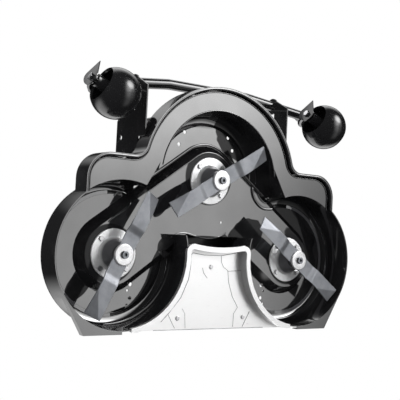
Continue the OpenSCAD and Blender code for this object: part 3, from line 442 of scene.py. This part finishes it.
# Painted shade: thin dark tubes along the folds of the floor and along its rear edge.
for index, (radius, points) in enumerate(seams):
    verts, faces = swept(raised(points, tray_floor), radius, 12)
    add_piece("tray_seam_%d" % index, verts, faces, seam_shade_metal, "deck")
rear_edge = [(x, tray_rear, tray_floor) for x in (tray_half, 0.0, -tray_half)]
verts, faces = swept(rear_edge, 0.0012, 12)
add_piece("tray_rear_edge", verts, faces, seam_shade_metal, "deck")
pressed_copy("tunnel_liner", liner_paint, "deck", 0.0004)
pressed_copy("tray_screws", zinc, "deck", 0.0006)


# Spindle housings: a bright flange bolted under the pan by four screws, drawn down to a cone
# at the bearing. Each is spun from thick sheet and turned, so the tool leaves rings round the
# spindle. Below the flange the metal is painted dark grey: painted shade on the cone.
def rounded(corners, radius, steps=5):
    """A profile with rounded corners: each becomes a quadratic curve (1 - t)^2 a +
    2 t (1 - t) corner + t^2 b, with a and b on its two sides, at most a radius away."""
    here = np.asarray(corners, float)
    back, on = np.roll(here, 1, 0) - here, np.roll(here, -1, 0) - here
    back_length = np.linalg.norm(back, axis=1)[:, None]
    on_length = np.linalg.norm(on, axis=1)[:, None]
    reach = np.minimum(radius, 0.45 * np.minimum(back_length, on_length))
    a, b = here + back / back_length * reach, here + on / on_length * reach
    t = np.linspace(0, 1, steps)[None, :, None]
    curve = (1 - t) ** 2 * a[:, None] + 2 * t * (1 - t) * here[:, None] + t ** 2 * b[:, None]
    return curve.reshape(-1, 2)


def turned(profile, steps=96):
    """Points and faces of a closed (radius, height) profile turned round Z: x = r cos a,
    y = r sin a, z = height, with the faces turned by the profile's signed area."""
    r, z = np.asarray(profile, float).T
    a = np.linspace(0, 2 * np.pi, steps, endpoint=False)[:, None]
    verts = np.stack([r * np.cos(a), r * np.sin(a), z + 0 * a], -1)
    area = np.sum(r * np.roll(z, -1) - np.roll(r, -1) * z)
    faces = grid_faces(steps, len(r), True, True)
    return verts.reshape(-1, 3), faces if area < 0 else faces[:, ::-1]


def turned_metal(name, tone, rough, centres, ring=900.0, metallic=1.0, shaded_below=0.0):
    """Turned metal: fine rings round the nearest centre, stains, a polish that varies, and
    painted shade, a dark grey below a height."""
    metal = Finish(name, Metallic=metallic)
    x, y, z = metal.axes(metal.place)
    away = None
    for cx, cy in centres:
        here = ((x - cx) ** 2.0 + (y - cy) ** 2.0) ** 0.5
        away = here if away is None else away.math("MINIMUM", here)
    rings = metal.node("ShaderNodeTexNoise", {"noise_dimensions": "1D"},
                       {"W": away * ring, "Scale": 1.0, "Detail": 2.0})
    stain = metal.noise(24.0, 4.0, 0.6)
    light, dull = tone + (1,), tuple(c * 0.78 for c in tone) + (1,)
    colour = metal.mix(metal.range(stain, 0.45, 0.75), light, dull)
    # Painted shade: below that height the metal turns dark grey, on the cone under the flange.
    if shaded_below:
        painted_shade = metal.range(z + stain * 0.006, shaded_below - 0.012, shaded_below, 1.0, 0.0)
        colour = metal.mix(painted_shade, colour, (0.16, 0.16, 0.17, 1))
    return metal.done(Base_Color=colour,
                      Roughness=metal.range(rings, 0.3, 0.7, rough - 0.04, rough + 0.08),
                      Normal=metal.bump(rings * 0.6 + stain * 0.4, 0.10, 0.0002))


spindle_centres = [tuple(DECK_TO_ROW[:2] + xy) for xy in SPINDLES.values()]
flange_metal = turned_metal("flange_steel", (0.97, 0.975, 0.98), 0.34, spindle_centres,
                            metallic=0.66, shaded_below=0.151)
flange_r, flange_low, flange_high = 0.084, 0.079, 0.0837
nose_r, nose_low, bore_r, barrel_r, barrel_top = 0.033, 0.034, 0.026, 0.0317, 0.150
housing = rounded([(bore_r, nose_low), (nose_r, nose_low), (0.0415, 0.0475), (0.050, 0.0715),
                   (0.0555, 0.0765), (0.0575, flange_low), (flange_r - 0.0015, flange_low),
                   (flange_r, flange_low + 0.0015), (flange_r, flange_high),
                   (barrel_r, flange_high), (barrel_r, barrel_top), (bore_r, barrel_top)], 0.0022)
for key, (x, y) in SPINDLES.items():
    verts, faces = turned(housing)
    add_piece("spindle_housing_turned_" + key, verts + (x, y, 0), faces, flange_metal, "deck",
              ["spindle_housing_" + key])
    pressed_copy("flange_bolts_" + key, zinc, "deck", 0.0005)
    pressed_copy("bearings_" + key, zinc, "deck", 0.0004)

# Spindles, blades, washers and bolts: they turn together in the housings. The blades are
# hot-pressed spring steel with a satin blue-grey skin, thin along the ground cutting edge.
# A plated washer and one dark bolt clamp each to its spindle.
shaft_metal = turned_metal("shaft_steel", (0.60, 0.60, 0.62), 0.30, spindle_centres)
washer_metal = turned_metal("washer_chrome", (0.92, 0.92, 0.93), 0.30, spindle_centres, 500.0,
                            0.75)
dark_bolt = bare_steel("bolt_dark", (0.24, 0.25, 0.27), 0.32, (120.0, 120.0, 120.0), 0.06)
blade_angle = {"l": 117.0, "c": 149.0, "r": 36.0}
washer = rounded([(0.0063, 0.0067), (0.0335, 0.0070), (0.036, 0.0086), (0.036, 0.0127),
                  (0.0345, 0.0127), (0.0325, 0.0097), (0.0063, 0.0097)], 0.0016)


def satin_blade(name, degrees, centre):
    """Blade skin: brush lines along the blade, clouds of a darker grey, and scuffs worn by grass.
    """
    metal = Finish(name, Metallic=0.62, Specular_IOR_Level=0.35)
    brushed = metal.node("ShaderNodeMapping", None, {
        "Vector": metal.turned_place(centre + (0,), degrees), "Scale": (9.0, 480.0, 60.0)})
    lines = metal.noise(1.0, 5.0, 0.62, place=brushed)
    cloud = metal.noise(14.0, 4.0, 0.6)
    scuff = metal.range(metal.noise(60.0, 5.0, 0.7), 0.58, 0.72)
    base = metal.mix(metal.range(cloud, 0.36, 0.70), (0.335, 0.345, 0.37, 1),
                     (0.245, 0.255, 0.275, 1))
    return metal.done(Base_Color=metal.mix(scuff * 0.25, base, (0.40, 0.41, 0.43, 1)),
                      Roughness=metal.range(lines, 0.3, 0.7, 0.36, 0.50),
                      Normal=metal.bump(lines * 0.6 + cloud * 0.4, 0.12, 0.0003))


def ease(t):
    """A smooth step: t^2 (3 - 2 t), with t held between 0 and 1."""
    t = np.clip(t, 0, 1)
    return t ** 2 * (3 - 2 * t)


def pressed_blade(reach=0.2235, half=0.028, thick=0.005, middle=0.013, drop=0.007, lift=0.014,
                  along=150, across=29):
    """Points and faces of a blade as one closed tube of sections, in its own frame. On an arm,
    q goes from the middle to the tip and u from the trailing to the cutting side. The height is
    middle - drop ease((q - 0.33) / 0.13) + lift (s + sqrt(s^2 + 0.004)) / 3.5, where
    s = 1.75 (q - 0.62) / 0.38 - 1 - u, so that the wing is a flat corner, folded up along a
    slanting line. The cutting side is ground to a third of the thickness."""
    q = np.linspace(0, 1, along)[:, None]
    u = np.linspace(-1, 1, across)[None, :]
    s = 1.75 * (q - 0.62) / 0.38 - 1 - u
    wing = lift * (s + np.sqrt(s ** 2 + 0.004)) / 3.5 * (q > 0.3)
    ground = thick * 0.62 * ease((q - 0.50) / 0.04) * np.clip((u - 0.62) / 0.38, 0, 1)
    low = middle - drop * ease((q - 0.33) / 0.13) + wing
    under = np.stack([reach * q + 0 * u, -half * u + 0 * q, low], -1)
    over = under + (0, 0, 1) * (thick - ground)[..., None]
    arm = np.concatenate([under, over[:, ::-1]], 1)
    other = np.concatenate([under[:, ::-1], over], 1) * (-1, -1, 1)
    blade = np.concatenate([arm[::-1], other[1:]])
    return blade.reshape(-1, 3), tube_faces(*blade.shape[:2])


for key, (x, y) in SPINDLES.items():
    verts, faces = pressed_blade()
    c, s = np.cos(np.radians(blade_angle[key])), np.sin(np.radians(blade_angle[key]))
    verts = verts @ np.array([[c, s, 0], [-s, c, 0], [0, 0, 1]]) + (x, y, 0)
    skin = satin_blade("blade_satin_" + key, blade_angle[key], tuple(DECK_TO_ROW[:2] + (x, y)))
    add_piece("blade_pressed_" + key, verts, faces, skin, "spindle_" + key,
              ["blade_" + key], smooth_deg=40.0, bevel=0.0005)
    verts, faces = turned(washer)
    add_piece("blade_washer_turned_" + key, verts + (x, y, 0), faces, washer_metal,
              "spindle_" + key, ["blade_washer_" + key])
    pressed_copy("blade_bolt_" + key, dark_bolt, "spindle_" + key, 0.0006)
    pressed_copy("spindle_shaft_" + key, shaft_metal, "spindle_" + key, 0.0006)

# Belt drive on top of the deck: three V pulleys, an idler on a swinging arm, one V belt and two
# moulded covers. The pulleys are pressed from sheet and painted grey, the belt is rubber with
# a woven jacket, and the covers are black plastic with a pebbled skin.
pulley_paint = enamel("pulley_grey", 0.10, 0.28, 0.25)
bracket_paint = enamel("bracket_black", 0.010, 0.22, 0.3)
rubber = Finish("belt_rubber")
weave = rubber.noise(900.0, 2.0)
dust = rubber.range(rubber.noise(12.0, 4.0), 0.4, 0.7)
rubber.done(Base_Color=rubber.mix(dust, (0.022, 0.022, 0.022, 1), (0.05, 0.05, 0.048, 1)),
            Roughness=rubber.range(weave, 0.3, 0.7, 0.62, 0.82),
            Normal=rubber.bump(weave, 0.3, 0.0005))
moulded = Finish("cover_plastic", IOR=1.48)
pebble = moulded.node("ShaderNodeTexVoronoi", {"feature": "SMOOTH_F1"},
                      {"Vector": moulded.place, "Scale": 420.0})
haze = moulded.noise(11.0, 4.0)
moulded.done(Base_Color=moulded.mix(moulded.range(haze, 0.4, 0.7), (0.028, 0.028, 0.03, 1),
                                    (0.045, 0.045, 0.046, 1)),
             Roughness=moulded.range(haze, 0.35, 0.7, 0.42, 0.58),
             Normal=moulded.bump(pebble, 0.35, 0.0004))
for key in SPINDLES:
    pressed_copy("pulley_" + key, pulley_paint, "spindle_" + key, 0.0008)
    pressed_copy("pulley_nut_" + key, zinc, "spindle_" + key, 0.0006)
pressed_copy("deck_belt", rubber.material, "deck", 0.0010)
pressed_copy("idler_arm", bracket_paint, "idler", 0.0008)
pressed_copy("idler_bolt", zinc, "idler", 0.0005)
pressed_copy("idler_pivot_bolt", zinc, "deck", 0.0005)
pressed_copy("idler_pulley", pulley_paint, "idler_wheel", 0.0008)
for side in SIDES:
    pressed_copy("belt_cover_" + side, moulded.material, "deck", 0.0012)
    pressed_copy("cover_screws_" + side, zinc, "deck", 0.0004)

# Front tube: one bent steel tube between the two kingpin sleeves, held by the front brackets
# and their stays. Plates and tube are painted black after welding. The rear hangers, cut from
# the same plate, stand on the side chambers.
tube_paint = enamel("tube_black", 0.012, 0.16, 0.25)
tube_r, tube_z, tube_y, knee_x, bend_r = 0.0185, 0.122, 0.598, 0.172, 0.11
king = np.array([0.456, 0.566])
sleeve = rounded([(0.00905, 0.1025), (0.020, 0.1025), (0.020, 0.1435), (0.00905, 0.1435)],
                 0.0015)


def bent_run():
    """Points along the tube's axis: straight, a round bend at each knee, with its centre a
    bend radius behind the tube, and straight to the kingpins."""
    turn = np.degrees(np.arctan2(tube_y - king[1], king[0] - knee_x))
    reach = bend_r * np.tan(np.radians(turn) / 2)
    bend = arc((knee_x - reach, tube_y - bend_r), bend_r, 90, 90 - turn, 14)
    half = np.concatenate([[(0.0, tube_y)], bend, [king]])
    return np.concatenate([half[::-1] * (-1, 1), half[1:]])


tube_verts, bent_faces = swept(raised(bent_run(), tube_z), tube_r, 48)
for sign in (-1, 1):
    verts, faces = turned(sleeve, 64)
    bent_faces += [tuple(face + len(tube_verts)) for face in faces]
    tube_verts = np.concatenate([tube_verts, verts + (sign * king[0], king[1], 0)])
add_piece("front_tube_bent", tube_verts, bent_faces, tube_paint, "deck",
          ["front_tube"])
for side in SIDES:
    pressed_copy("front_bracket_" + side, bracket_paint, "deck", 0.0012)
    pressed_copy("bracket_stay_" + side, bracket_paint, "deck", 0.0012)
    pressed_copy("rear_hanger_" + side, bracket_paint, "deck", 0.0010)

# Casters: a black arm with its kingpin hugs each ball wheel and swivels in the tube's sleeve.
# The wheel is blown gloss plastic, open on the arm's side, and turns on a bright hex bolt. The
# bolt goes through a keeper plate, a pressed leaf with its upper edge folded out.
caster_paint = enamel("caster_black", 0.012, 0.18, 0.3)
bright_bolt = turned_metal("wheel_bolt_zinc", (0.84, 0.84, 0.86), 0.18, [(0.0, 0.0)], 300.0)
gloss = Finish("ball_gloss", IOR=1.52, Coat_Weight=0.7, Coat_Roughness=0.06)
flow = gloss.noise(6.0, 3.0)
mar = gloss.noise(140.0, 4.0, 0.65)
gloss.done(Base_Color=gloss.mix(gloss.range(mar, 0.6, 0.75, 0.0, 0.4), (0.014, 0.014, 0.015, 1),
                                (0.05, 0.05, 0.05, 1)),
           Roughness=gloss.range(mar, 0.35, 0.7, 0.14, 0.30),
           Normal=gloss.bump(flow * 0.8 + mar * 0.2, 0.05, 0.0005))
ball_r, ball_z, wheel_wall, hub_r, axle_r = 0.084, 0.014, 0.008, 0.022, 0.00705
hub_low, hub_high = -0.052, 0.0822
keeper_r, keeper_tip, keeper_fold = 0.030, 0.0617, 0.012
keeper_faces = (0.0944, 0.0975)                    # along the axle from the wheel's centre
yaw = np.radians(24.4)
axle = np.array([np.cos(yaw), np.sin(yaw), 0.0])
upright = np.array([0.0, 0.0, 1.0])
across = np.cross(axle, upright)
trail, inset = -0.038, -0.040                      # from the kingpin to the wheel's centre
outer = arc((0, 0), ball_r, -45.0, 45.0, 40)
inner = arc((0, 0), ball_r - wheel_wall, 42.3, -24.75, 24)
foot = rounded([(axle_r, hub_low), (hub_r, hub_low), (hub_r + wheel_wall, outer[0, 1])],
               0.0008, 3)[3:]
hub = [(hub_r + 0.002, -0.042), (hub_r, -0.036), (hub_r, hub_high - 0.001),
       (hub_r - 0.001, hub_high), (axle_r, hub_high), (axle_r, hub_low)]
leaf = np.concatenate([[(keeper_tip, 0.0)], arc((0, 0), keeper_r, 64, 296, 41)])
fold = keeper_fold * np.clip(leaf[:, 1] / keeper_r, 0, 1)
for side, sign in SIDES.items():
    centre = (np.array([sign * king[0], king[1], ball_z]) + inset * axle
              + trail * np.array([-axle[1], axle[0], 0.0]))
    pressed_copy("caster_arm_" + side, caster_paint, "caster_" + side, 0.0010)
    pressed_copy("caster_nut_" + side, zinc, "caster_" + side, 0.0010)
    pressed_copy("wheel_bolt_" + side, bright_bolt, "caster_" + side, 0.0010)
    count = len(leaf)
    middle = count // 2
    halves = [tuple(range(middle + 1)), (0,) + tuple(range(middle, count))]
    leaf_faces = turned_over(halves) + [tuple(count + i for i in face) for face in halves]
    leaf_faces += [(i, (i + 1) % count, count + (i + 1) % count, count + i)
                   for i in range(count)]
    plate = [raised(leaf, t + fold) @ np.array([-across, upright, axle]) for t in keeper_faces]
    add_piece("keeper_plate_folded_" + side, np.concatenate(plate) + centre, leaf_faces,
              caster_paint, "caster_" + side, ["keeper_plate_" + side],
              smooth_deg=25.0, bevel=0.0004)
    verts, faces = turned(np.concatenate([foot, outer, inner, hub]), 128)
    add_piece("ball_wheel_blown_" + side, verts @ np.array([across, upright, axle]) + centre,
              turned_over(faces), gloss.material, "wheel_" + side,
              ["ball_wheel_" + side], smooth_deg=40.0)

# Studio: the deck hangs in front of a world that is white to the camera, with three soft lamps
# that no gloss mirrors. What the enamel mirrors is one broad pale card below on the left, a dim
# roof over the front and the rear, and one small glint. The rest is dark.
world = bpy.data.worlds.new("studio")
bpy.context.scene.world = world
world.use_nodes = True
studio = Nodes(world.node_tree)
backdrop = world.node_tree.nodes["Background"]
east, north, high = studio.axes(studio.node("ShaderNodeTexCoord", out="Generated"))
seen = studio.node("ShaderNodeLightPath", out="Is Camera Ray")
mirrored = studio.node("ShaderNodeLightPath", out="Is Glossy Ray")
below = studio.range(high, -0.66, -0.34, 1.0, 0.0)
on_the_left = studio.range(east, -0.48, -0.12, 1.0, 0.0) * studio.range(east, -0.72, -0.58, 0.36)
forward = studio.range(north, -0.45, 0.0, 0.35)
card = below * on_the_left * forward * (studio.range(north, 0.04, 0.20, 1.34, 3.0)
                                        - studio.range(north, 0.50, 0.75, 0.0, 2.6))
roof = studio.range(high, 0.0, 0.5) * (studio.range(north, -0.60, -0.25, 1.5, 0.0)
                                       + studio.range(north, 0.35, 0.70, 0.0, 1.3))
glint = studio.range(east * -0.598 + north * 0.533 + high * -0.598, 0.945, 0.992, 0.0, 6.0)
gloss_level, diffuse_level = card + roof + glint + 0.015, 0.42
light = mirrored * gloss_level + (1.0 - mirrored) * diffuse_level
backdrop.inputs["Color"].default_value = (1, 1, 1, 1)
studio.set(backdrop, {"Strength": seen + (1.0 - seen) * light})


def soft_lamp(name, place, target, size, power):
    """An area lamp at a place, turned to its target, which no gloss mirrors."""
    lamp = bpy.data.lights.new(name, "AREA")
    lamp.shape = "RECTANGLE"
    lamp.size, lamp.size_y = size
    lamp.energy = power
    holder = bpy.data.objects.new(name, lamp)
    holder.location = place
    aim = Vector(target) - Vector(place)
    holder.rotation_euler = aim.to_track_quat("-Z", "Y").to_euler()
    holder.visible_glossy = False
    bpy.context.scene.collection.objects.link(holder)


soft_lamp("top_key", (1.2, 1.4, 2.6), (0, 0, 0.1), (1.8, 1.8), 55)
soft_lamp("under_right", (2.4, 0.9, -1.2), (0, 0, 0.1), (1.2, 1.6), 26)
soft_lamp("under_front", (0.3, 2.5, -1.2), (0, 0.1, 0.1), (1.8, 0.7), 16)

# Camera: the place, the turn and the focal length that were worked out from the deck's own
# circles and straight edges in the photograph.
eye = np.array([1.6630, 0.0714, -2.2549]) + DECK_TO_ROW
right = np.array([-0.81882, 0.05044, -0.57182])
above = np.array([0.06719, 0.99771, -0.00820])
away = np.array([0.57010, -0.04514, -0.82034])
half_width, focal_length = 200, 804.97             # in pixels
lens = bpy.data.cameras.new("camera")
lens.sensor_fit = "HORIZONTAL"
lens.angle = 2 * np.arctan(half_width / focal_length)
lens.clip_end = 50
camera = bpy.data.objects.new("camera", lens)
turn = Matrix(np.column_stack([right, above, away]).tolist()).to_4x4()
camera.matrix_world = Matrix.Translation(Vector(eye)) @ turn
bpy.context.scene.collection.objects.link(camera)
bpy.context.scene.camera = camera
bpy.context.scene.view_settings.view_transform = "Standard"
